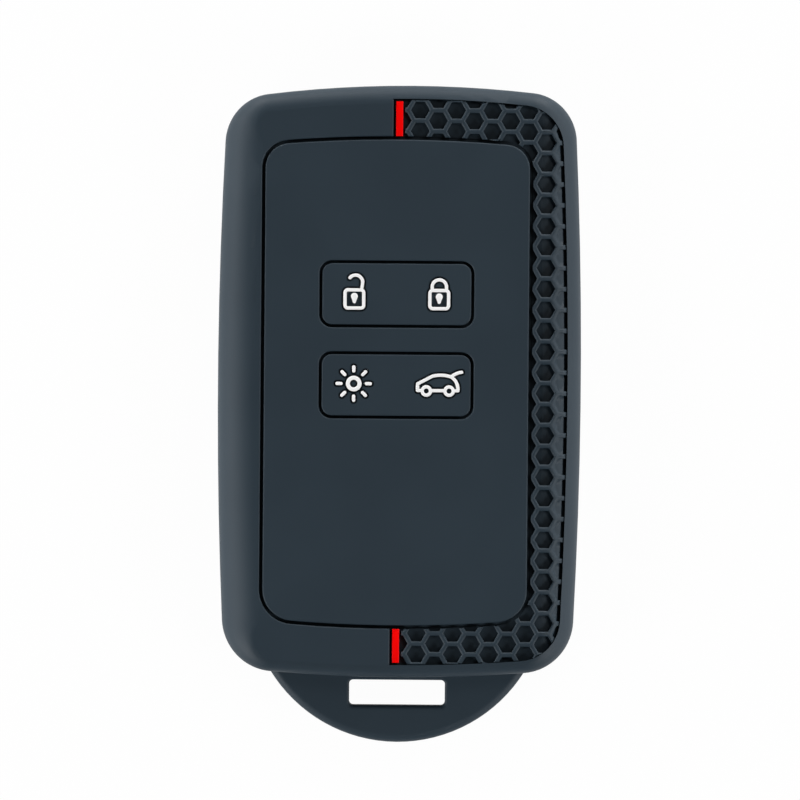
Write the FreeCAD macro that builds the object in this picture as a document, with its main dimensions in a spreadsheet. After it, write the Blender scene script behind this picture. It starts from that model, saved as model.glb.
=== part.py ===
import FreeCAD, Part
import math
import os
import Sketcher

# Silicone cover for a card-shaped smart key.
# The cover lies on its back: +X to the right of the face, +Y up the face, +Z out of the face.
# The origin is on the back face, in the middle of the whole outline with its keyring tab.

# Driving sizes in millimetres
SIZES = {
    # sleeve, outside
    "width": "62.0",            # widest, at half length
    "body_length": "100.8",     # without the keyring tab
    "thickness": "14.0",
    "side_bow": "1.5",          # how far each long side swells
    "top_crown": "2.28",        # how far the top end swells
    "top_shift": "2.0",         # its highest point to the right of the middle
    "bottom_crown": "1.64",
    "corner_top": "8.4",        # corners seen from the front
    "corner_bottom": "9.1",
    "side_round": "6.6",        # front edge along the long sides
    "top_round": "3.1",         # front edge along the top end
    "bottom_round": "2.0",
    "back_round": "3.5",        # back edge all round
    # sleeve, inside
    "wall": "2.4",
    "back_wall": "2.0",
    "least_round": "0.5",       # smallest round inside
    "lip_side": "10.0",         # lip round the back window that the key goes in through
    "lip_end": "11.4",
    "lip_corner": "10.0",
    "lip_edge": "0.8",
    # keyring tab
    "tab_reach": "11.2",        # beyond the lower end of the body
    "tab_radius": "25.5",
    "tab_thickness": "4.0",
    "tab_level": "4.0",         # underside above the back face
    "tab_edge": "1.3",
    "slot_width": "16.35",
    "slot_height": "4.3",
    "slot_corner": "0.7",
    "slot_high_edge": "0.3",    # rounds of its front mouth, largest where the ring pulls
    "slot_side_edge": "0.5",
    "slot_low_edge": "0.9",
    "slot_back_edge": "0.4",
    "slot_gap": "0.55",         # from the lower end of the body to the slot
    # face panel
    "frame_left": "7.95",       # from the sides and ends of the body to the panel
    "frame_right": "9.05",
    "frame_top": "9.26",
    "frame_bottom": "8.88",
    "panel_crown": "1.1",
    "panel_corner_top": "4.2",
    "panel_corner_bottom": "5.3",
    "panel_thickness": "1.6",
    "panel_edge": "0.25",
    "groove": "0.57",           # dark line round the panel
    "frame_edge": "0.2",        # soft edge of the frame along the groove
    "ledge": "2.2",             # seat under the rim of the panel
    # button pads and their webs
    "pad_width": "25.34",
    "pad_height": "10.41",
    "pad_corner": "1.7",
    "pad_edge": "0.22",
    "pad_groove": "0.5",        # dark line round each pad
    "pad_gap": "5.08",          # between the pads
    "pad_top_margin": "21.1",   # from the top of the panel to the upper pad
    "web_thickness": "0.5",
    "web_flange": "1.5",        # bonded rim outside the groove
    # white symbols
    "icon_inset": "5.45",       # from the end of a pad to the middle of a symbol
    "icon_stroke": "0.47",
    "icon_depth": "1.0",
    "icon_moat": "0.36",        # dark gap round each stroke
    "lock_width": "3.66",
    "lock_height": "3.57",
    "lock_corner": "0.75",
    "lock_drop": "0.87",        # middle of the lock body below the middle of the pad
    "shackle_radius": "1.22",
    "shackle_rise": "0.35",     # straight legs of the closed shackle
    "open_rise": "1.05",        # the open shackle stands higher and leans to the right
    "open_shift": "0.18",
    "open_turn": "141",         # degrees from the right leg to the free end
    "keyhole_head": "0.54",
    "keyhole_tip": "0.24",
    "keyhole_length": "0.9",
    "light_rise": "0.22",       # middle of the lamp above the middle of the pad
    "light_radius": "0.99",
    "light_stroke": "0.59",
    "ray_stroke": "0.47",
    "ray_start": "2.15",
    "ray_end": "2.84",
    "car_length": "6.85",
    "car_shift": "-0.14",
    "car_drop": "0.94",         # wheel centres below the middle of the pad
    "wheel_gap": "3.86",
    "wheel_radius": "0.71",
    # honeycomb band and red strips
    "recess_depth": "1.3",
    "rim_top": "2.3",
    "rim_side": "2.35",
    "rim_bottom": "2.1",
    "recess_corner": "7.2",     # right-hand corners of the recess
    "notch_left": "-1.35",      # left end of the recess
    "cell_pitch": "3.56",
    "rib": "0.8",
    "side_column": "2.85",      # from the panel to the middle of the column of cells beside it
    "first_cell": "9.56",       # from the top end of the body to that column's first cell
    "rib_drop": "0.08",         # ribs below the front surface
    "lattice_left": "0.65",
    "lattice_gap": "0.05",
    "shelf_drop": "0.35",       # filled cells beside the right rim, below the front surface
    "shelf_gap": "0.65",        # dark slot between them and the rim
    "bond": "0.06",             # glue line under the ribs and strips
    "strip_width": "1.2",
    "strip_shift": "-0.3",
    "strip_rim_gap": "0.42",    # from the outer end of a strip to the rim
    "strip_panel_gap": "0.02",  # from its inner end to the groove
    "strip_drop": "0.15",
}

# Places worked out from the driving sizes
BODY_TOP = "(sizes.body_length + sizes.tab_reach) / 2"
BODY_BOTTOM = "(sizes.tab_reach - sizes.body_length) / 2"
BODY_MIDDLE = "sizes.tab_reach / 2"
TAB_TIP = "(-(sizes.body_length + sizes.tab_reach) / 2)"
HALF_WIDTH = "sizes.width / 2"
SIDE_RADIUS = "((sizes.body_length / 2)^2 + sizes.side_bow^2) / (2 * sizes.side_bow)"
END_HALF = "(sizes.width / 2 - sizes.side_bow)"
TOP_RADIUS = "(%s^2 + sizes.top_crown^2) / (2 * sizes.top_crown)" % END_HALF
BOTTOM_RADIUS = "(%s^2 + sizes.bottom_crown^2) / (2 * sizes.bottom_crown)" % END_HALF
PANEL_TOP = "(%s - sizes.frame_top)" % BODY_TOP
PANEL_BOTTOM = "(%s + sizes.frame_bottom)" % BODY_BOTTOM
PANEL_RIGHT = "(sizes.width / 2 - sizes.frame_right)"
PANEL_MIDDLE = "((sizes.frame_left - sizes.frame_right) / 2)"
PANEL_HALF = "((sizes.width - sizes.frame_left - sizes.frame_right) / 2)"
PANEL_RADIUS = "(%s^2 + sizes.panel_crown^2) / (2 * sizes.panel_crown)" % PANEL_HALF
PANEL_FLOOR = "(sizes.thickness - sizes.panel_thickness)"
CAVITY_TOP = "(sizes.thickness - sizes.wall)"
UPPER_PAD = "(%s - sizes.pad_top_margin - sizes.pad_height / 2)" % PANEL_TOP
LOWER_PAD = "(%s - sizes.pad_height - sizes.pad_gap)" % UPPER_PAD
ICON_FLOOR = "(sizes.thickness - sizes.icon_depth)"

# How far cutting bodies run past the faces they cut, and when two levels count as one
OVERRUN = "2.0"
TOUCH = 1e-4

doc = FreeCAD.newDocument("key_fob_cover")
sheet = doc.addObject("Spreadsheet::Sheet", "sizes")
for row, (alias, number) in enumerate(SIZES.items(), 1):
    sheet.set("A%d" % row, alias)
    sheet.set("B%d" % row, number)
    sheet.setAlias("B%d" % row, alias)
doc.recompute()


def value(expression):
    """The number that an expression of sheet sizes gives."""
    return float(sheet.evalExpression(expression))


# Outlines: closed sketches of four sides, each a straight line or a shallow arc
def line(place):
    """A straight side at one X (left or right) or one Y (top or bottom)."""
    return {"place": place}


def arc(centre_x, centre_y, radius):
    """A bowed side."""
    return {"x": centre_x, "y": centre_y, "radius": radius}


def reach(side, along, sign, upright):
    """Where a side lies at a height (left or right side) or across (top or bottom side)."""
    if "place" in side:
        return value(side["place"])
    near, far = ("x", "y") if upright else ("y", "x")
    off = along - value(side[far])
    return value(side[near]) + sign * math.sqrt(value(side["radius"]) ** 2 - off ** 2)


def corner(upright_side, upright_sign, level_side, level_sign):
    """Where a long side meets an end."""
    x, y = 0.0, 0.0
    for _ in range(20):
        x = reach(upright_side, y, upright_sign, True)
        y = reach(level_side, x, level_sign, False)
    return FreeCAD.Vector(x, y, 0)


def draw_outline(sketch, right, top, left, bottom):
    """Four sides drawn anticlockwise, joined at their ends and bound to the sheet."""
    corners = [
        corner(right, 1, bottom, -1),
        corner(right, 1, top, 1),
        corner(left, -1, top, 1),
        corner(left, -1, bottom, -1),
    ]
    sides = {"right": right, "top": top, "left": left, "bottom": bottom}
    for index, (name, side) in enumerate(sides.items()):
        start, end = corners[index], corners[(index + 1) % 4]
        upright = name in ("right", "left")
        if "place" in side:
            edge = sketch.addGeometry(Part.LineSegment(start, end))
            sketch.addConstraint(Sketcher.Constraint("Vertical" if upright else "Horizontal", edge))
            bind_distance(sketch, "X" if upright else "Y", edge, 1, name + "_place", side["place"])
        else:
            centre = FreeCAD.Vector(value(side["x"]), value(side["y"]), 0)
            circle = Part.Circle(centre, FreeCAD.Vector(0, 0, 1), value(side["radius"]))
            angles = (circle.parameter(start), circle.parameter(end))
            edge = sketch.addGeometry(Part.ArcOfCircle(circle, *angles))
            bind_distance(sketch, "X", edge, 3, name + "_x", side["x"])
            bind_distance(sketch, "Y", edge, 3, name + "_y", side["y"])
            radius = Sketcher.Constraint("Radius", edge, value(side["radius"]))
            bind_constraint(sketch, radius, name + "_radius", side["radius"])
    for edge in range(4):
        sketch.addConstraint(Sketcher.Constraint("Coincident", edge, 2, (edge + 1) % 4, 1))


def bind_constraint(sketch, constraint, name, expression):
    """Add a named constraint that follows an expression."""
    index = sketch.addConstraint(constraint)
    sketch.renameConstraint(index, name)
    sketch.setExpression("Constraints." + name, expression)


def bind_distance(sketch, axis, edge, point, name, expression):
    """Hold a point of an edge at a distance from the sketch origin."""
    distance = Sketcher.Constraint("Distance" + axis, -1, 1, edge, point, value(expression))
    bind_constraint(sketch, distance, name, expression)


# Building blocks
def add_sketch(body, name, level):
    """An empty sketch of a body, level with the back face and raised to a height."""
    sketch = body.newObject("Sketcher::SketchObject", name)
    plane = next(feature for feature in body.Origin.OriginFeatures if feature.Role == "XY_Plane")
    sketch.AttachmentSupport = (plane, "")
    sketch.MapMode = "FlatFace"
    sketch.setExpression("AttachmentOffset.Base.z", level)
    return sketch


def add_pad(body, sketch, height):
    """Pad a sketch upwards."""
    pad = body.newObject("PartDesign::Pad", sketch.Name + "_pad")
    pad.Profile = sketch
    pad.setExpression("Length", height)
    doc.recompute()


def add_pocket(body, sketch):
    """Cut a sketch right through, downwards from its own level."""
    before = body.Shape.Volume
    pocket = body.newObject("PartDesign::Pocket", sketch.Name + "_pocket")
    pocket.Profile = sketch
    pocket.Type = "ThroughAll"
    doc.recompute()
    if body.Shape.Volume >= before:
        raise RuntimeError(pocket.Name + " cuts nothing")


def padded(name, sides, low, height):
    """A body of one outline, padded upwards from a level."""
    body = doc.addObject("PartDesign::Body", name)
    sketch = add_sketch(body, name + "_outline", low)
    draw_outline(sketch, *sides)
    add_pad(body, sketch, height)
    return body


def edge_numbers(base, chosen):
    """The numbers of the edges of an object that pass a test."""
    numbered = enumerate(base.Shape.Edges, 1)
    return [number for number, edge in numbered if not edge.Degenerated and chosen(edge)]


def round_edges(body, name, radius, chosen):
    """Round the chosen edges of a body."""
    base = body.Tip
    fillet = body.newObject("PartDesign::Fillet", name)
    fillet.Base = (base, ["Edge%d" % number for number in edge_numbers(base, chosen)])
    fillet.setExpression("Radius", radius)
    doc.recompute()


def is_upright(edge):
    """Whether an edge runs along Z."""
    return abs(edge.Vertexes[0].Z - edge.Vertexes[-1].Z) > edge.Length / 2


def lies_at(edge, level):
    """Whether an edge lies level at a height."""
    box = edge.BoundBox
    return max(abs(box.ZMin - level), abs(box.ZMax - level)) < TOUCH


def joined(kind, name, base, tool):
    """A boolean of two objects."""
    result = doc.addObject("Part::" + kind, name)
    result.Base = base
    result.Tool = tool
    doc.recompute()
    return result


def rounded_off(name, base, radii):
    """An object with rounded edges: radii gives the radius at each end of an edge, or nothing."""
    rounded = doc.addObject("Part::Fillet", name)
    rounded.Base = base
    edges = []
    for number, edge in enumerate(base.Shape.Edges, 1):
        pair = None if edge.Degenerated else radii(edge)
        if pair:
            edges.append((number, *pair))
    rounded.Edges = edges
    doc.recompute()
    return rounded


def evenly(radius, chosen):
    """One radius along all the chosen edges."""
    return lambda edge: (radius, radius) if chosen(edge) else None


def meets_wall(edge, shape):
    """Whether an upright face of a shape ends at an edge."""
    point = edge.valueAt(edge.FirstParameter)
    faces = shape.ancestorsOfType(edge, Part.Face)
    return any(abs(face.normalAt(*face.Surface.parameter(point)).z) < TOUCH for face in faces)


def at_least_small(radius):
    """A radius that never goes below the smallest round."""
    return "max(%s; sizes.least_round)" % radius


# Outlines of the object
def body_sides(side, top, bottom):
    """The sleeve's outline, drawn in at its sides and its two ends."""
    side_radius = "%s - %s" % (SIDE_RADIUS, side)
    return (
        arc("%s - %s" % (HALF_WIDTH, SIDE_RADIUS), BODY_MIDDLE, side_radius),
        arc("sizes.top_shift", "%s - %s" % (BODY_TOP, TOP_RADIUS), "%s - %s" % (TOP_RADIUS, top)),
        arc("%s - %s" % (SIDE_RADIUS, HALF_WIDTH), BODY_MIDDLE, side_radius),
        arc("0", "%s + %s" % (BODY_BOTTOM, BOTTOM_RADIUS), "%s - %s" % (BOTTOM_RADIUS, bottom)),
    )


def panel_sides(grow):
    """The panel's outline, grown by a margin."""
    half = "(%s + %s)" % (PANEL_HALF, grow)
    radius = "%s + %s" % (PANEL_RADIUS, grow)
    return (
        line("%s + %s" % (PANEL_MIDDLE, half)),
        arc(PANEL_MIDDLE, "%s - %s" % (PANEL_TOP, PANEL_RADIUS), radius),
        line("%s - %s" % (PANEL_MIDDLE, half)),
        arc(PANEL_MIDDLE, "%s + %s" % (PANEL_BOTTOM, PANEL_RADIUS), radius),
    )


def box_sides(centre_x, centre_y, width, height):
    """A plain rectangle."""
    return (
        line("%s + (%s) / 2" % (centre_x, width)),
        line("%s + (%s) / 2" % (centre_y, height)),
        line("%s - (%s) / 2" % (centre_x, width)),
        line("%s - (%s) / 2" % (centre_y, height)),
    )


def end_of(vertex):
    """The end of the body that a point is nearer to."""
    return "top" if vertex.Y > value(BODY_MIDDLE) else "bottom"


def sleeve_form(name, inset, low, high):
    """The sleeve's outer form drawn in by an inset, with its long sides rounder than its ends."""
    block = padded(name, body_sides(inset, inset, inset), low, "%s - %s" % (high, low))
    corner_middle = value("%s - (sizes.side_bow + sizes.corner_bottom + %s) / 2" % (HALF_WIDTH, inset))
    back_radius = value(at_least_small("sizes.back_round - " + inset))

    def corner_radii(edge):
        if is_upright(edge):
            radius = value("sizes.corner_%s - %s" % (end_of(edge.Vertexes[0]), inset))
            return radius, radius

    def front_radius(vertex):
        place = "side" if abs(vertex.X) > corner_middle else end_of(vertex)
        return value(at_least_small("sizes.%s_round - %s" % (place, inset)))

    def rim_radii(edge):
        if lies_at(edge, value(low)):
            return back_radius, back_radius
        if not is_upright(edge):
            return front_radius(edge.Vertexes[0]), front_radius(edge.Vertexes[-1])

    return rounded_off(name + "_rounded", rounded_off(name + "_corners", block, corner_radii), rim_radii)


def lowered_form(name, drop):
    """The sleeve's outer form, sunk straight down."""
    return sleeve_form(name, "0", "(-%s)" % drop, "(sizes.thickness - %s)" % drop)


def panel_block(name, grow, low, height):
    """A prism of the panel's outline, grown by a margin."""
    body = padded(name, panel_sides(grow), low, height)
    for end in ("top", "bottom"):
        round_edges(
            body,
            "%s_%s_corners" % (name, end),
            at_least_small("sizes.panel_corner_%s + %s" % (end, grow)),
            lambda edge: is_upright(edge) and end_of(edge.Vertexes[0]) == end,
        )
    return body


def rounded_box(name, centre_x, centre_y, width, height, radius, low, thickness):
    """A plate with rounded corners."""
    body = padded(name, box_sides(centre_x, centre_y, width, height), low, thickness)
    round_edges(body, name + "_corners", radius, is_upright)
    return body


def band_block(name, margin, left):
    """A prism of the honeycomb band's outer outline, drawn in by a margin and ended on the left."""
    right, top, _, bottom = body_sides(
        "(sizes.rim_side + %s)" % margin,
        "(sizes.rim_top + %s)" % margin,
        "(sizes.rim_bottom + %s)" % margin,
    )
    low = "(sizes.thickness - sizes.side_round)"
    body = padded(name, (right, top, line(left), bottom), low, "sizes.side_round + " + OVERRUN)
    round_edges(
        body,
        name + "_corners",
        "sizes.recess_corner - " + margin,
        lambda edge: is_upright(edge) and edge.Vertexes[0].X > value("sizes.width / 4"),
    )
    return body


# Sleeve
def tab_block():
    """The keyring tab: a disc that the lower end of the sleeve swallows, with a slot."""
    body = doc.addObject("PartDesign::Body", "tab")
    sketch = add_sketch(body, "tab_disc", "sizes.tab_level")
    centre_y = "%s + sizes.tab_radius" % TAB_TIP
    centre = FreeCAD.Vector(0, value(centre_y), 0)
    disc = sketch.addGeometry(Part.Circle(centre, FreeCAD.Vector(0, 0, 1), value("sizes.tab_radius")))
    sketch.addConstraint(Sketcher.Constraint("PointOnObject", disc, 3, -2))
    bind_distance(sketch, "Y", disc, 3, "disc_y", centre_y)
    radius = Sketcher.Constraint("Radius", disc, value("sizes.tab_radius"))
    bind_constraint(sketch, radius, "disc_radius", "sizes.tab_radius")
    add_pad(body, sketch, "sizes.tab_thickness")
    round_edges(body, "tab_rim", "sizes.tab_edge", lambda edge: not is_upright(edge))

    tab_top = "(sizes.tab_level + sizes.tab_thickness)"
    slot = add_sketch(body, "slot_outline", tab_top)
    slot_y = "(%s - sizes.slot_gap - sizes.slot_height / 2)" % BODY_BOTTOM
    draw_outline(slot, *box_sides("0", slot_y, "sizes.slot_width", "sizes.slot_height"))
    add_pocket(body, slot)
    half_slot = value("sizes.slot_width / 2") + TOUCH

    def in_slot(edge):
        box = edge.BoundBox
        return max(-box.XMin, box.XMax) < half_slot and box.YMax < value(BODY_BOTTOM)

    round_edges(body, "slot_corners", "sizes.slot_corner", lambda edge: is_upright(edge) and in_slot(edge))
    round_edges(
        body,
        "slot_back",
        "sizes.slot_back_edge",
        lambda edge: in_slot(edge) and lies_at(edge, value("sizes.tab_level")),
    )

    def mouth_radius(vertex):
        off = (vertex.Y - value(slot_y)) / value("sizes.slot_height / 2")
        place = "high" if off > 1 - TOUCH else "low" if off < TOUCH - 1 else "side"
        return value("sizes.slot_%s_edge" % place)

    def mouth_radii(edge):
        if in_slot(edge) and lies_at(edge, value(tab_top)):
            return mouth_radius(edge.Vertexes[0]), mouth_radius(edge.Vertexes[-1])

    return rounded_off("slotted_tab", body, mouth_radii)


def make_sleeve():
    """The moulding: outer form and tab, hollowed, with back window, panel seat and honeycomb recess."""
    shell = joined("Fuse", "shell", lowered_form("outer_form", "0"), tab_block())
    cavity = sleeve_form("cavity", "sizes.wall", "sizes.back_wall", CAVITY_TOP)
    shell = joined("Cut", "hollow_shell", shell, cavity)
    window = rounded_box(
        "back_window",
        "0",
        BODY_MIDDLE,
        "sizes.width - 2 * sizes.lip_side",
        "sizes.body_length - 2 * sizes.lip_end",
        "sizes.lip_corner",
        "(-%s)" % OVERRUN,
        "sizes.back_wall + 2 * " + OVERRUN,
    )
    shell = joined("Cut", "open_shell", shell, window)
    lip_levels = (0.0, value("sizes.back_wall"))
    lip_x = value("sizes.width / 2 - sizes.lip_side") + TOUCH

    def on_lip(edge):
        inside = max(-edge.BoundBox.XMin, edge.BoundBox.XMax) < lip_x
        return inside and meets_wall(edge, shell.Shape) and any(lies_at(edge, level) for level in lip_levels)

    shell = rounded_off("lipped_shell", shell, evenly(value("sizes.lip_edge"), on_lip))
    seat = panel_block("panel_seat", "sizes.groove", PANEL_FLOOR, "sizes.panel_thickness + " + OVERRUN)
    shell = joined("Cut", "seated_shell", shell, seat)
    under_ledge = "%s - %s" % (CAVITY_TOP, OVERRUN)
    opening = panel_block("panel_opening", "(-sizes.ledge)", under_ledge, "sizes.wall + " + OVERRUN)
    shell = joined("Cut", "opened_shell", shell, opening)
    band = band_block("recess_outline", "0", "sizes.notch_left")
    recess = joined("Cut", "recess", band, lowered_form("recess_floor", "sizes.recess_depth"))
    shell = joined("Cut", "recessed_shell", shell, recess)
    front = value("sizes.thickness - sizes.recess_depth / 2")
    frame_end = value("sizes.notch_left") + TOUCH

    def on_frame(edge):
        box = edge.BoundBox
        return box.ZMin > front and box.XMax < frame_end and meets_wall(edge, shell.Shape)

    return rounded_off("sleeve", shell, evenly(value("sizes.frame_edge"), on_frame))


# Face panel, pads and webs
def make_panel():
    """The flat panel with a window for each pad."""
    panel = panel_block("face_panel", "0", PANEL_FLOOR, "sizes.panel_thickness")
    for name, centre in (("upper_window", UPPER_PAD), ("lower_window", LOWER_PAD)):
        window = add_sketch(panel, name, "sizes.thickness")
        sides = box_sides(
            PANEL_MIDDLE,
            centre,
            "sizes.pad_width + 2 * sizes.pad_groove",
            "sizes.pad_height + 2 * sizes.pad_groove",
        )
        draw_outline(window, *sides)
        add_pocket(panel, window)
    inner = value("sizes.pad_width / 2 + 2 * sizes.pad_groove")
    middle = value(PANEL_MIDDLE)
    round_edges(
        panel,
        "window_corners",
        "sizes.pad_corner + sizes.pad_groove",
        lambda edge: is_upright(edge) and abs(edge.Vertexes[0].X - middle) < inner,
    )
    front = value("sizes.thickness")
    round_edges(panel, "panel_front_edges", "sizes.panel_edge", lambda edge: lies_at(edge, front))
    return panel


def make_pad(name, centre, pockets):
    """A button pad with a soft front edge and pockets for its symbols."""
    pad = rounded_box(
        name + "_block",
        PANEL_MIDDLE,
        centre,
        "sizes.pad_width",
        "sizes.pad_height",
        "sizes.pad_corner",
        PANEL_FLOOR,
        "sizes.panel_thickness",
    )
    front = value("sizes.thickness")
    round_edges(pad, name + "_front_edge", "sizes.pad_edge", lambda edge: lies_at(edge, front))
    return joined("Cut", name, pad, pockets)


def make_web(name, centre):
    """The thin web behind a pad, bonded to the pad and to the panel round its window."""
    rim = "(sizes.pad_groove + sizes.web_flange)"
    return rounded_box(
        name,
        PANEL_MIDDLE,
        centre,
        "sizes.pad_width + 2 * " + rim,
        "sizes.pad_height + 2 * " + rim,
        "sizes.pad_corner + " + rim,
        PANEL_FLOOR + " - sizes.web_thickness",
        "sizes.web_thickness",
    )


# White symbols, drawn as strokes with round ends
def disc(point, radius, height):
    """A round dot."""
    return Part.makeCylinder(radius, height, point)


def straight_stroke(start, end, width, height):
    """A stroke along a straight line."""
    along = (end - start).normalize()
    across = FreeCAD.Vector(-along.y, along.x, 0) * (width / 2)
    sides = [start + across, end + across, end - across, start - across, start + across]
    bar = Part.Face(Part.makePolygon(sides)).extrude(FreeCAD.Vector(0, 0, height))
    return [bar, disc(start, width / 2, height), disc(end, width / 2, height)]


def bent_stroke(start, middle, end, width, height):
    """A stroke along an arc through three points."""
    path = Part.Arc(start, middle, end).toShape().Curve

    def rail(offset):
        scale = 1 + offset / path.Radius
        return [path.Center + (point - path.Center) * scale for point in (start, middle, end)]

    outer, inner = rail(width / 2), rail(-width / 2)
    edges = [
        Part.Arc(*outer).toShape(),
        Part.makeLine(outer[2], inner[2]),
        Part.Arc(*inner).toShape(),
        Part.makeLine(inner[0], outer[0]),
    ]
    outline = Part.Wire(Part.sortEdges(edges)[0])
    bow = Part.Face(outline).extrude(FreeCAD.Vector(0, 0, height))
    return [bow, disc(start, width / 2, height), disc(end, width / 2, height)]


def ring(point, radius, width, height):
    """A round stroke, closed on itself."""
    return disc(point, radius + width / 2, height).cut(disc(point, radius - width / 2, height))


def fused(solids):
    """One solid from overlapping ones."""
    return solids[0].multiFuse(solids[1:]).removeSplitter()


def strokes_of(width, height):
    """The two kinds of stroke at one width and height."""
    return (
        lambda start, end: straight_stroke(start, end, width, height),
        lambda start, middle, end: bent_stroke(start, middle, end, width, height),
    )


def keyhole(centre, height):
    """A round head that narrows to a tip."""
    half = FreeCAD.Vector(0, value("sizes.keyhole_length / 2"), 0)
    head, tip = centre + half, centre - half
    head_side = FreeCAD.Vector(value("sizes.keyhole_head"), 0, 0)
    tip_side = FreeCAD.Vector(value("sizes.keyhole_tip"), 0, 0)
    sides = [head + head_side, head - head_side, tip - tip_side, tip + tip_side, head + head_side]
    wedge = Part.Face(Part.makePolygon(sides)).extrude(FreeCAD.Vector(0, 0, height))
    return [wedge, disc(head, head_side.Length, height), disc(tip, tip_side.Length, height)]


def lock_plate(centre, grow, height):
    """The outline of a padlock's body as a plate, grown by a margin."""
    width = value("sizes.lock_width") + 2 * grow
    length = value("sizes.lock_height") + 2 * grow
    plate = Part.makeBox(width, length, height, centre - FreeCAD.Vector(width / 2, length / 2))
    corners = [edge for edge in plate.Edges if is_upright(edge)]
    return plate.makeFillet(value("sizes.lock_corner") + grow, corners)


def lock_body(centre, grow, height):
    """The frame of a padlock with its keyhole, or the pocket for both."""
    plate = lock_plate(centre, grow, height)
    if grow:
        return [plate]
    frame = plate.cut(lock_plate(centre, -value("sizes.icon_stroke"), height))
    return [frame] + keyhole(centre, height)


def lock_symbol(middle, grow, height):
    """A padlock."""
    centre = middle - FreeCAD.Vector(0, value("sizes.lock_drop"), 0)
    straight, bent = strokes_of(value("sizes.icon_stroke") + 2 * grow, height)
    radius = value("sizes.shackle_radius")
    foot = value("(sizes.lock_height - sizes.icon_stroke) / 2")
    shoulder = value("sizes.lock_height / 2 + sizes.shackle_rise")
    solids = lock_body(centre, grow, height)
    for side in (-radius, radius):
        solids += straight(centre + FreeCAD.Vector(side, foot), centre + FreeCAD.Vector(side, shoulder))
    bow = [(-radius, shoulder), (0, shoulder + radius), (radius, shoulder)]
    solids += bent(*[centre + FreeCAD.Vector(*place) for place in bow])
    return fused(solids)


def unlock_symbol(middle, grow, height):
    """A padlock with its shackle open to the left."""
    centre = middle - FreeCAD.Vector(0, value("sizes.lock_drop"), 0)
    straight, bent = strokes_of(value("sizes.icon_stroke") + 2 * grow, height)
    radius = value("sizes.shackle_radius")
    foot = FreeCAD.Vector(radius, value("(sizes.lock_height - sizes.icon_stroke) / 2"))
    turn_centre = FreeCAD.Vector(value("sizes.open_shift"), value("sizes.lock_height / 2 + sizes.open_rise"))
    turn = math.radians(value("sizes.open_turn"))
    bow = [turn_centre + radius * FreeCAD.Vector(math.cos(a), math.sin(a)) for a in (0, turn / 2, turn)]
    solids = lock_body(centre, grow, height)
    solids += straight(centre + foot, centre + bow[0])
    solids += bent(*[centre + place for place in bow])
    return fused(solids)


def light_symbol(middle, grow, height):
    """A lamp: a ring with eight rays."""
    centre = middle + FreeCAD.Vector(0, value("sizes.light_rise"), 0)
    straight, _ = strokes_of(value("sizes.ray_stroke") + 2 * grow, height)
    pieces = [ring(centre, value("sizes.light_radius"), value("sizes.light_stroke") + 2 * grow, height)]
    for step in range(8):
        ray = FreeCAD.Vector(math.cos(step * math.pi / 4), math.sin(step * math.pi / 4))
        bar = straight(centre + ray * value("sizes.ray_start"), centre + ray * value("sizes.ray_end"))
        pieces.append(fused(bar))
    return fused(pieces) if grow else Part.makeCompound(pieces)


# The car's outline, as shares of its length from the middle of its wheels
CAR = {
    "nose_foot": (-0.5, 0.01),
    "nose": (-0.5, 0.175),
    "pillar": (-0.135, 0.366),
    "roof": (0.1, 0.394),
    "hinge": (0.33, 0.352),
    "rear": (0.465, 0.205),
    "rear_foot": (0.5, 0.01),
    "gate": (0.45, 0.43),
    "gate_tip": (0.59, 0.47),
}


def tailgate_symbol(middle, grow, height):
    """A car seen from its side with the tailgate up."""
    base = middle + FreeCAD.Vector(value("sizes.car_shift"), -value("sizes.car_drop"))
    length = value("sizes.car_length")
    at = {name: base + FreeCAD.Vector(*share) * length for name, share in CAR.items()}
    width = value("sizes.icon_stroke") + 2 * grow
    straight, bent = strokes_of(width, height)
    solids = straight(at["nose_foot"], at["nose"])
    solids += straight(at["nose"], at["pillar"])
    solids += bent(at["pillar"], at["roof"], at["hinge"])
    solids += bent(at["hinge"], at["rear"], at["rear_foot"])
    solids += bent(at["hinge"], at["gate"], at["gate_tip"])
    solids += straight(at["nose_foot"], at["rear_foot"])
    half_gap = FreeCAD.Vector(value("sizes.wheel_gap / 2"), 0)
    wheel = value("sizes.wheel_radius")
    wheels = [base - half_gap, base + half_gap]
    solids += [disc(hub, wheel + width / 2, height) for hub in wheels]
    symbol = fused(solids)
    return symbol if grow else symbol.cut([disc(hub, wheel - width / 2, height) for hub in wheels])


def symbol_place(centre, side):
    """The middle of a symbol, on the floor of its pocket."""
    across = value("%s + %d * (sizes.pad_width / 2 - sizes.icon_inset)" % (PANEL_MIDDLE, side))
    return FreeCAD.Vector(across, value(centre), value(ICON_FLOOR))


def make_symbols(name, centre, left, right):
    """Two symbols of a pad, and the pockets that they stand in."""
    height = value("sizes.icon_depth")
    moat = value("sizes.icon_moat")
    pockets = []
    icons = []
    for side, (label, draw) in ((-1, left), (1, right)):
        place = symbol_place(centre, side)
        icon = doc.addObject("Part::Feature", label)
        icon.Shape = draw(place, 0, height)
        icons.append(icon)
        pockets.append(draw(place, moat, height + value(OVERRUN)))
    pocket = doc.addObject("Part::Feature", name + "_pockets")
    pocket.Shape = Part.makeCompound(pockets)
    return icons, pocket


# Honeycomb lattice and red strips
def hexagon(x, y, low, height):
    """A cell's open core: a hexagonal prism with two sides level."""
    radius = value("(sizes.cell_pitch - sizes.rib) / sqrt(3)")
    points = []
    for step in range(7):
        angle = step * math.pi / 3
        points.append(FreeCAD.Vector(x + radius * math.cos(angle), y + radius * math.sin(angle), low))
    return Part.Face(Part.makePolygon(points)).extrude(FreeCAD.Vector(0, 0, height))


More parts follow.
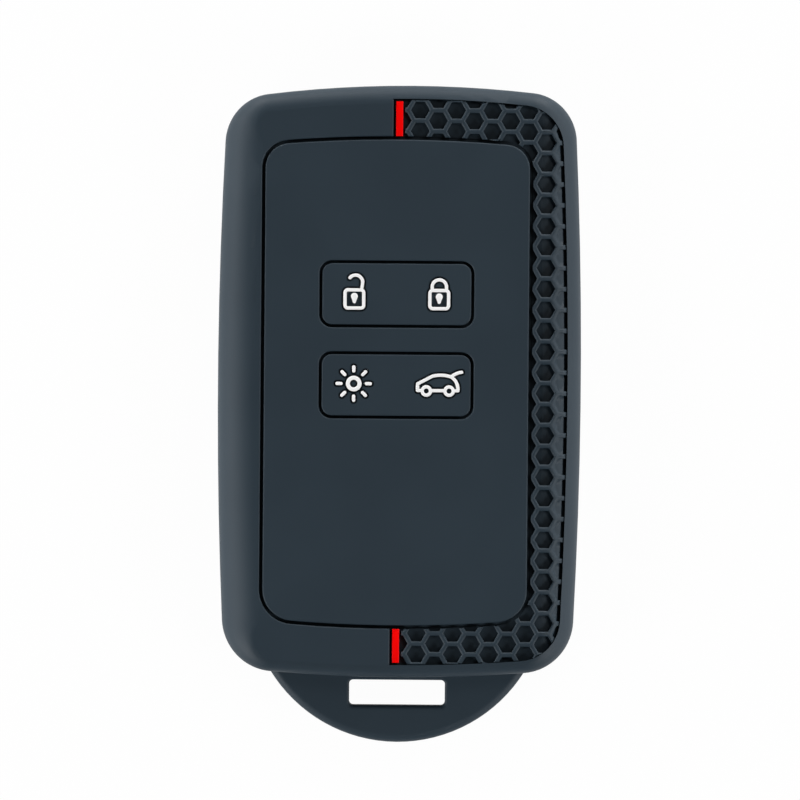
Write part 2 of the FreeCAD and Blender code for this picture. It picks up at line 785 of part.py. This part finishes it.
def make_cells():
    """The cores of all cells that reach into the band, and those between the side column and the rim."""
    pitch = value("sizes.cell_pitch")
    spacing = pitch * math.sqrt(3) / 2
    top, bottom = value(BODY_TOP), value(BODY_BOTTOM)
    panel_top, panel_bottom, panel_right = value(PANEL_TOP), value(PANEL_BOTTOM), value(PANEL_RIGHT)
    column_x = panel_right + value("sizes.side_column")
    first_y = top - value("sizes.first_cell")
    low = value("sizes.thickness - sizes.side_round")
    height = value("sizes.side_round + " + OVERRUN)
    leftmost = -math.ceil(column_x / spacing)
    rightmost = math.ceil(value("sizes.frame_right") / spacing)
    cores = {"cells": [], "rim_cells": []}
    for column in range(leftmost, rightmost + 1):
        x = column_x + column * spacing
        shift = pitch / 2 if column % 2 else 0
        for row in range(-math.ceil((top - first_y) / pitch), math.ceil((first_y - bottom) / pitch) + 1):
            y = first_y - row * pitch - shift
            behind_panel = x < panel_right - pitch and panel_bottom + pitch < y < panel_top - pitch
            if bottom < y < top and not behind_panel:
                cores["rim_cells" if column == 1 else "cells"].append(hexagon(x, y, low, height))
    groups = []
    for name, solids in cores.items():
        group = doc.addObject("Part::Feature", name)
        group.Shape = Part.makeCompound(solids)
        groups.append(group)
    return groups


def make_lattice(seat):
    """The ribs between the cells and the shelves beside the rim, bent over the rounded front."""
    block = band_block("lattice_outline", "sizes.lattice_gap", "sizes.lattice_left")
    block = joined("Cut", "lattice_band", block, seat)
    block = joined("Common", "lattice_skin", block, lowered_form("rib_tops", "sizes.rib_drop"))
    block = joined("Cut", "lattice_sheet", block, rib_feet)
    cells, rim_cells = make_cells()
    shelf = band_block("shelf_outline", "sizes.shelf_gap", "sizes.lattice_left")
    shelf = joined("Common", "shelf", shelf, lowered_form("shelf_tops", "sizes.shelf_drop"))
    ribs = joined("Cut", "ribs_with_shelf", block, cells)
    ribs = joined("Cut", "ribs", ribs, joined("Cut", "rim_cells_above_shelf", rim_cells, shelf))
    lattice = doc.addObject("Part::Feature", "honeycomb_lattice")
    lattice.Shape = max(ribs.Shape.Solids, key=lambda solid: solid.Volume)
    return lattice


def make_strip(name, low_end, high_end):
    """A red bar laid in the end of the recess, between two levels along the face."""
    sides = (
        line("sizes.strip_shift + sizes.strip_width / 2"),
        line(high_end),
        line("sizes.strip_shift - sizes.strip_width / 2"),
        line(low_end),
    )
    low = "(sizes.thickness - sizes.side_round)"
    bar = padded(name + "_bar", sides, low, "sizes.side_round")
    bar = joined("Common", name + "_top", bar, strip_tops)
    return joined("Cut", name, bar, rib_feet)


# The whole cover
sleeve = make_sleeve()
panel = make_panel()
upper_icons, upper_pockets = make_symbols(
    "upper_pad", UPPER_PAD, ("unlock_icon", unlock_symbol), ("lock_icon", lock_symbol)
)
lower_icons, lower_pockets = make_symbols(
    "lower_pad", LOWER_PAD, ("light_icon", light_symbol), ("tailgate_icon", tailgate_symbol)
)
rib_feet = lowered_form("rib_feet", "(sizes.recess_depth - sizes.bond)")
strip_tops = lowered_form("strip_tops", "sizes.strip_drop")
nodes = [
    sleeve,
    panel,
    make_pad("upper_button_pad", UPPER_PAD, upper_pockets),
    make_pad("lower_button_pad", LOWER_PAD, lower_pockets),
    make_web("upper_pad_web", UPPER_PAD),
    make_web("lower_pad_web", LOWER_PAD),
    make_lattice(doc.getObject("panel_seat")),
    make_strip(
        "upper_red_strip",
        PANEL_TOP + " + sizes.groove + sizes.strip_panel_gap",
        BODY_TOP + " - sizes.rim_top - sizes.strip_rim_gap",
    ),
    make_strip(
        "lower_red_strip",
        BODY_BOTTOM + " + sizes.rim_bottom + sizes.strip_rim_gap",
        PANEL_BOTTOM + " - sizes.groove - sizes.strip_panel_gap",
    ),
    *upper_icons,
    *lower_icons,
]
doc.recompute()

# Every object is checked before anything is written
for item in doc.Objects:
    if {"Invalid", "Error"} & set(item.State):
        raise RuntimeError("%s failed: %s" % (item.Name, item.State))
os.makedirs("parts", exist_ok=True)
for node in nodes:
    if node.Shape.isNull() or not node.Shape.isValid():
        raise RuntimeError(node.Label + " has no sound shape")
for node in nodes:
    node.Shape.exportStep(os.path.join("parts", node.Label + ".step"))
    print("%-20s solids %d  volume %.1f mm3" % (node.Label, len(node.Shape.Solids), node.Shape.Volume))
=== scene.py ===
import math

import bmesh
import bpy
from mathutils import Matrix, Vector


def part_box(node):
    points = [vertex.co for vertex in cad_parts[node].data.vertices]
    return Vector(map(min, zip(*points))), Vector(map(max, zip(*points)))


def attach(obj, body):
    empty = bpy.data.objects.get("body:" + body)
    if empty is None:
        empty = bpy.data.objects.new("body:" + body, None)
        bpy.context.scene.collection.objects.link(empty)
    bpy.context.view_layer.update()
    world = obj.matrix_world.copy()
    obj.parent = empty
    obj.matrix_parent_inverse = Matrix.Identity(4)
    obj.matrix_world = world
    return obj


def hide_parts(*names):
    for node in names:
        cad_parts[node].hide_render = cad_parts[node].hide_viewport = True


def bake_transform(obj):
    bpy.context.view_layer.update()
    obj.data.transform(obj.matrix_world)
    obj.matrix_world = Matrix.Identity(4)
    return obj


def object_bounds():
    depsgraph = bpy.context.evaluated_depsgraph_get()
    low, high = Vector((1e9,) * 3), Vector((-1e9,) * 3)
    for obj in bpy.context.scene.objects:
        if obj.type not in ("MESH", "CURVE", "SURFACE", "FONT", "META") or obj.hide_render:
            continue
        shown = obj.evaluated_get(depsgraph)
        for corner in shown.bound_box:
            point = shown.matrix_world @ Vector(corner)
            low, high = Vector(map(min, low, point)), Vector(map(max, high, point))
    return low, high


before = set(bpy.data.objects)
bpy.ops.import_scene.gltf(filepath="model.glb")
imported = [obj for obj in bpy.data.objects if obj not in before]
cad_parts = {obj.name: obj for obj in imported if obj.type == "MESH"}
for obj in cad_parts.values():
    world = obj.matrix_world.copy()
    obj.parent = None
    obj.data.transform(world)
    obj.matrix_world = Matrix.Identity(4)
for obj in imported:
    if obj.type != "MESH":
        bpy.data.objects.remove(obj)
cad_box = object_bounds()

# Silicone cover for a card-shaped smart key, lying on its back with its face up.
MM = 0.001
UP = Vector((0, 0, 1))

# Edges of the moulding
MERGE = 0.002 * MM           # vertices of neighbouring triangles count as one
SHORT = 0.06 * MM            # edges under this length are closed up before the ribs get new tops
FLAT = math.radians(0.02)    # triangles this level with each other become one face
CORNER = math.radians(32)    # an edge sharper than this is a corner of the moulding
ROUND_STEPS = 3              # facets across a rounded corner
STRIP_ROUND = 0.12 * MM      # edges of the red bars

# Eased edge of a rib, from its wall to its top: millimetres in from the wall and down from the top
RIB_EDGE = ((0, 0.22), (0.03, 0.16), (0.18, 0.03), (0.23, 0))
SHARPEST = 0.5               # keeps the points of narrow cells from running across a rib

# Ink on the symbols
INK_ROUND = 0.05 * MM        # its front edge
INK_WRAP = 0.045 * MM        # how far it stands out from the sides of a symbol

# The web round each pad
GROOVE = 0.5 * MM            # from the pad to the panel, where the web bends
BEND_STEPS = 4

# Camera: straight above the face, far off, with the lean that the cover has in the picture
PICTURE_WIDTH = 136.43 * MM  # what the picture spans at the level of the face
AIM = Vector((0.13 * MM, 2.43 * MM, 10 * MM))
CAMERA_DISTANCE = 1.6
SENSOR = 36.0
LEAN = math.radians(0.45)

# Studio, lengths in metres
FLOOR_HALF = 3.0             # from the middle of the paper to its edges
FLOOR_GAP = 0.05 * MM        # keeps the paper from showing through the flat back
PAPER_GLOW = 0.97            # share of the paper that the lens sees as pure white
SURROUND = 0.06              # strength of the even light from all round
LAMP_DISTANCE = 0.6
LAMP_WIDTH = 0.25
LAMP_HEIGHT = 0.15


# Materials
def linear(hex_colour):
    """An sRGB hex colour as linear RGBA."""
    channels = [int(hex_colour[start:start + 2], 16) / 255 for start in (1, 3, 5)]
    return [c / 12.92 if c <= 0.04045 else ((c + 0.055) / 1.055) ** 2.4 for c in channels] + [1.0]


def add_node(tree, kind, inputs=None, **settings):
    """A shader node with its settings, its inputs filled in or linked."""
    node = tree.nodes.new("ShaderNode" + kind)
    for name, setting in settings.items():
        setattr(node, name, setting)
    for name, source in (inputs or {}).items():
        if isinstance(source, bpy.types.NodeSocket):
            tree.links.new(source, node.inputs[name])
        else:
            node.inputs[name].default_value = source
    return node


def new_material(name):
    """An empty material and its node tree."""
    material = bpy.data.materials.new(name)
    material.use_nodes = True
    material.node_tree.nodes.clear()
    return material, material.node_tree


def per_metre(spacing_mm):
    """The scale of a pattern that repeats at a spacing."""
    return 1 / (spacing_mm * MM)


def moulded_silicone():
    """Silicone rubber pressed in a spark-eroded tool: matt and a little waxy, with a fine grain."""
    material, tree = new_material("moulded_silicone")
    place = add_node(tree, "TexCoord").outputs["Object"]
    cloud = add_node(
        tree, "TexNoise", {"Vector": place, "Scale": per_metre(16), "Detail": 2.0, "Roughness": 0.4}
    )
    tint = add_node(tree, "ValToRGB", {"Fac": cloud.outputs["Fac"]})
    tint.color_ramp.elements[0].position = 0.35
    tint.color_ramp.elements[0].color = linear("#202e38")
    tint.color_ramp.elements[1].position = 0.65
    tint.color_ramp.elements[1].color = linear("#23313b")
    # The eroded grain is about 0.05 mm in the tool, drawn at 0.22 mm so that it shows
    grain = add_node(
        tree, "TexNoise", {"Vector": place, "Scale": per_metre(0.22), "Detail": 3.0, "Roughness": 0.6}
    )
    gloss = add_node(tree, "MapRange", {"Value": grain.outputs["Fac"], "To Min": 0.54, "To Max": 0.62})
    bump = add_node(
        tree, "Bump", {"Height": grain.outputs["Fac"], "Strength": 0.12, "Distance": 0.02 * MM}
    )
    surface = add_node(
        tree,
        "BsdfPrincipled",
        {
            "Base Color": tint.outputs["Color"],
            "Roughness": gloss.outputs["Result"],
            "Normal": bump.outputs["Normal"],
            "IOR": 1.41,
            "Specular IOR Level": 0.45,
        },
    )
    add_node(tree, "OutputMaterial", {"Surface": surface.outputs["BSDF"]})
    return material


def silicone_ink(name, colour, shade, roughness, gloss):
    """Pigmented silicone ink, flooded on and cured: an even, solid colour with a smooth skin."""
    material, tree = new_material(name)
    place = add_node(tree, "TexCoord").outputs["Object"]
    flow = add_node(tree, "TexNoise", {"Vector": place, "Scale": per_metre(1.5), "Detail": 2.0})
    tint = add_node(tree, "ValToRGB", {"Fac": flow.outputs["Fac"]})
    tint.color_ramp.elements[0].color = linear(shade)
    tint.color_ramp.elements[1].color = linear(colour)
    bump = add_node(
        tree, "Bump", {"Height": flow.outputs["Fac"], "Strength": 0.05, "Distance": 0.02 * MM}
    )
    surface = add_node(
        tree,
        "BsdfPrincipled",
        {
            "Base Color": tint.outputs["Color"],
            "Roughness": roughness,
            "Normal": bump.outputs["Normal"],
            "IOR": 1.43,
            "Specular IOR Level": gloss,
        },
    )
    add_node(tree, "OutputMaterial", {"Surface": surface.outputs["BSDF"]})
    return material


def white_paper():
    """A sheet of white studio paper, which the lens sees as white and which still takes a soft shadow."""
    material, tree = new_material("white_paper")
    path = add_node(tree, "LightPath")
    seen = add_node(
        tree,
        "Math",
        {0: path.outputs["Is Camera Ray"], 1: path.outputs["Is Glossy Ray"]},
        operation="MAXIMUM",
    )
    seen = add_node(
        tree,
        "Math",
        {0: seen.outputs["Value"], 1: path.outputs["Is Transmission Ray"]},
        operation="MAXIMUM",
    )
    share = add_node(tree, "Math", {0: seen.outputs["Value"], 1: PAPER_GLOW}, operation="MULTIPLY")
    paper = add_node(tree, "BsdfDiffuse", {"Color": linear("#f2f2f2")})
    glow = add_node(tree, "Emission", {"Color": linear("#ffffff"), "Strength": 1.0})
    mix = add_node(
        tree,
        "MixShader",
        {0: share.outputs["Value"], 1: paper.outputs["BSDF"], 2: glow.outputs["Emission"]},
    )
    add_node(tree, "OutputMaterial", {"Surface": mix.outputs["Shader"]})
    return material


SILICONE = moulded_silicone()
WHITE = silicone_ink("white_silicone_ink", "#ffffff", "#fafafa", 0.45, 0.5)
RED = silicone_ink("red_silicone_ink", "#ff0000", "#f90000", 0.4, 0.15)


# Pieces
def merged_copy(node):
    """A CAD node's surface with its triangles merged into whole faces."""
    form = bmesh.new()
    form.from_mesh(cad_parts[node].data)
    bmesh.ops.remove_doubles(form, verts=form.verts, dist=MERGE)
    bmesh.ops.dissolve_limit(form, angle_limit=FLAT, verts=form.verts, edges=form.edges)
    return form


def soften(form, radius, chosen):
    """Round the outward corners that are chosen."""
    corners = [
        edge
        for edge in form.edges
        if edge.is_manifold and edge.calc_face_angle_signed() > CORNER and chosen(edge)
    ]
    bmesh.ops.bevel(
        form,
        geom=corners,
        offset=radius,
        offset_type="OFFSET",
        segments=ROUND_STEPS,
        profile=0.5,
        affect="EDGES",
        material=-1,
        clamp_overlap=False,
    )


def smooth_patch(start):
    """All faces that can be reached from one without crossing a corner."""
    patch = {start}
    waiting = [start]
    while waiting:
        for edge in waiting.pop().edges:
            if edge.calc_face_angle(math.pi) < CORNER:
                new = set(edge.link_faces) - patch
                patch |= new
                waiting += new
    return patch


def new_top(form, patch, edge_profile):
    """Take a patch away and lay a top with eased edges in its place, where a bevel would fold over."""
    faces = [face for face in form.faces if face in patch]
    rim = [
        (loop.vert, loop.link_loop_next.vert)
        for face in faces
        for loop in face.loops
        if not patch.issuperset(loop.edge.link_faces)
    ]
    ways = {}
    for start, end in rim:
        inward = UP.cross(end.co - start.co).normalized()
        ways.setdefault(start, []).append(inward)
        ways.setdefault(end, []).append(inward)
    bmesh.ops.delete(form, geom=faces, context="FACES")
    columns = {}
    for point, (one, other) in ways.items():
        inward = (one + other) / max(1 + one.dot(other), SHARPEST)
        steps = [point.co + (inward * across - UP * down) * MM for across, down in edge_profile]
        point.co = steps[0]
        columns[point] = [point] + [form.verts.new(step) for step in steps[1:]]
    top = []
    for start, end in rim:
        near, far = columns[start], columns[end]
        for step in range(1, len(edge_profile)):
            form.faces.new((near[step - 1], far[step - 1], far[step], near[step]))
        top.append(form.edges.get((near[-1], far[-1])))
    bmesh.ops.triangle_fill(form, edges=top, normal=UP, use_beauty=True)


def smooth_mesh(form):
    """A mesh of a finished bmesh, smooth between its corners."""
    mesh = bpy.data.meshes.new("form")
    form.to_mesh(mesh)
    form.free()
    mesh.shade_smooth()
    mesh.set_sharp_from_angle(angle=CORNER)
    return mesh


def exact_mesh(node):
    """A CAD node's mesh with its triangles joined up, still shaded as its true curved faces are.

    Joining keeps the corners in their order, so the normals of the CAD mesh still fit them.
    """
    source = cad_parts[node].data
    form = bmesh.new()
    form.from_mesh(source)
    bmesh.ops.remove_doubles(form, verts=form.verts, dist=MERGE)
    mesh = smooth_mesh(form)
    mesh.normals_split_custom_set([corner.vector for corner in source.corner_normals])
    return mesh


def placed(name, node, mesh, material):
    """An object that stands for a CAD node."""
    mesh.name = name
    mesh.materials.append(material)
    piece = bpy.data.objects.new(name, mesh)
    bpy.context.scene.collection.objects.link(piece)
    if not mesh.has_custom_normals:
        weights = piece.modifiers.new("flat_faces_stay_flat", "WEIGHTED_NORMAL")
        weights.keep_sharp = True
        weights.weight = 100
    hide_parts(node)
    return piece


def middle_of(edge):
    """The middle of an edge."""
    return (edge.verts[0].co + edge.verts[1].co) / 2


def anywhere(edge):
    """Every corner."""
    return True


def at_front(edge):
    """Corners level with the face."""
    return middle_of(edge).z > cad_box[1].z - MERGE


def add_moulding(node, body):
    """The sleeve, its face panel or a button pad, just as the CAD has it."""
    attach(placed("moulded_" + node, node, exact_mesh(node), SILICONE), body)


def add_lattice():
    """The honeycomb ribs, with eased edges that catch the light."""
    form = merged_copy("honeycomb_lattice")
    bmesh.ops.dissolve_degenerate(form, dist=SHORT, edges=form.edges)
    highest = max(form.faces, key=lambda face: face.calc_center_median().z)
    new_top(form, smooth_patch(highest), RIB_EDGE)
    lattice = placed("soft_lattice", "honeycomb_lattice", smooth_mesh(form), SILICONE)
    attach(lattice, "cover")


def add_strip(node):
    """A red accent bar."""
    form = merged_copy(node)
    soften(form, STRIP_ROUND, anywhere)
    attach(placed("soft_" + node, node, smooth_mesh(form), RED), "cover")


def add_icon(node, body):
    """A symbol that stands in its pocket, inked on its front and down its sides."""
    form = merged_copy(node)
    for point in form.verts:
        wrap = point.normal * point.calc_shell_factor() * INK_WRAP
        point.co += Vector((wrap.x, wrap.y, 0))
    soften(form, INK_ROUND, at_front)
    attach(placed("inked_" + node, node, smooth_mesh(form), WHITE), body)


def trim(form, place, facing):
    """Cut away what lies beyond a plane and close the cut."""
    everything = [*form.verts, *form.edges, *form.faces]
    bmesh.ops.bisect_plane(form, geom=everything, plane_co=place, plane_no=facing, clear_outer=True)
    bmesh.ops.holes_fill(form, edges=[edge for edge in form.edges if edge.is_boundary])


def add_web(node, pad, body):
    """The skin behind a pad: a middle that goes in with it, and four flanks cut into strips across its
    groove.
    """
    low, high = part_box(pad)
    centre = (low + high) / 2
    half = (high - low) / 2
    middle = merged_copy(node)
    for name, out in (
        ("right", Vector((1, 0, 0))),
        ("top", Vector((0, 1, 0))),
        ("left", Vector((-1, 0, 0))),
        ("bottom", Vector((0, -1, 0))),
    ):
        across = Vector((-out.y, out.x, 0))
        pad_edge = centre + out * abs(half.dot(out))
        trim(middle, pad_edge, out)
        flank = merged_copy(node)
        trim(flank, pad_edge, -out)
        for side in (across, -across):
            trim(flank, pad_edge + side * abs(half.dot(across)), side - out)
        for step in range(1, BEND_STEPS + 1):
            everything = [*flank.verts, *flank.edges, *flank.faces]
            bend = pad_edge + out * GROOVE * step / BEND_STEPS
            bmesh.ops.bisect_plane(flank, geom=everything, plane_co=bend, plane_no=out)
        skin = placed("%s_%s_flank" % (node, name), node, smooth_mesh(flank), SILICONE)
        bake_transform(skin)
    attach(placed(node + "_middle", node, smooth_mesh(middle), SILICONE), body)


add_moulding("sleeve", "cover")
add_moulding("face_panel", "cover")
add_lattice()
add_strip("upper_red_strip")
add_strip("lower_red_strip")
for place, icons in (("upper", ("unlock_icon", "lock_icon")), ("lower", ("light_icon", "tailgate_icon"))):
    add_moulding(place + "_button_pad", place + "_pad")
    add_web(place + "_pad_web", place + "_button_pad", place + "_pad")
    for icon in icons:
        add_icon(icon, place + "_pad")


# Studio
def add_floor():
    """A sheet of paper under the cover."""
    form = bmesh.new()
    bmesh.ops.create_grid(form, x_segments=1, y_segments=1, size=FLOOR_HALF)
    bmesh.ops.translate(form, verts=form.verts, vec=-UP * FLOOR_GAP)
    mesh = bpy.data.meshes.new("floor")
    form.to_mesh(mesh)
    form.free()
    mesh.materials.append(white_paper())
    floor = bpy.data.objects.new("floor", mesh)
    bpy.context.scene.collection.objects.link(floor)


def add_softbox(name, azimuth, elevation, power):
    """A soft lamp that looks at the cover; azimuth 0 is to the right and 90 beyond the top end."""
    lamp = bpy.data.lights.new(name, "AREA")
    lamp.shape = "RECTANGLE"
    lamp.size = LAMP_WIDTH
    lamp.size_y = LAMP_HEIGHT
    lamp.energy = power
    softbox = bpy.data.objects.new(name, lamp)
    bpy.context.scene.collection.objects.link(softbox)
    turn, rise = math.radians(azimuth), math.radians(elevation)
    towards = Vector((math.cos(turn) * math.cos(rise), math.sin(turn) * math.cos(rise), math.sin(rise)))
    softbox.location = towards * LAMP_DISTANCE
    softbox.rotation_euler = towards.to_track_quat("Z", "Y").to_euler()


def add_world():
    """White surroundings for the lens, a weaker even light for the cover."""
    world = bpy.data.worlds.new("studio")
    bpy.context.scene.world = world
    world.use_nodes = True
    tree = world.node_tree
    tree.nodes.clear()
    path = add_node(tree, "LightPath")
    strength = add_node(
        tree, "MapRange", {"Value": path.outputs["Is Camera Ray"], "To Min": SURROUND, "To Max": 1.0}
    )
    light = add_node(
        tree, "Background", {"Strength": strength.outputs["Result"], "Color": linear("#ffffff")}
    )
    add_node(tree, "OutputWorld", {"Surface": light.outputs["Background"]})


def add_camera():
    """A long lens straight above the face."""
    lens = bpy.data.cameras.new("camera")
    lens.sensor_width = SENSOR
    lens.lens = SENSOR * CAMERA_DISTANCE / PICTURE_WIDTH
    camera = bpy.data.objects.new("camera", lens)
    bpy.context.scene.collection.objects.link(camera)
    camera.location = AIM + Vector((0, 0, CAMERA_DISTANCE))
    camera.rotation_euler = (0, 0, LEAN)
    bpy.context.scene.camera = camera


add_floor()
# Low lamps draw the rounded edges and leave the grooves dark; the two keys light the face and the tab
for name, azimuth, elevation, power in (
    ("right_low", -25, 9, 0.6),
    ("right_high", 20, 9, 0.9),
    ("top_right", 65, 8, 2.4),
    ("top_left", 115, 8, 2.1),
    ("left_high", 160, 9, 1.3),
    ("left_low", 205, 9, 1.2),
    ("left_key", 210, 31, 1.65),
    ("right_key", -30, 31, 1.5),
    ("overhead", 40, 55, 0.4),
):
    add_softbox(name + "_light", azimuth, elevation, power)
add_world()
add_camera()
bpy.context.scene.view_settings.view_transform = "Standard"
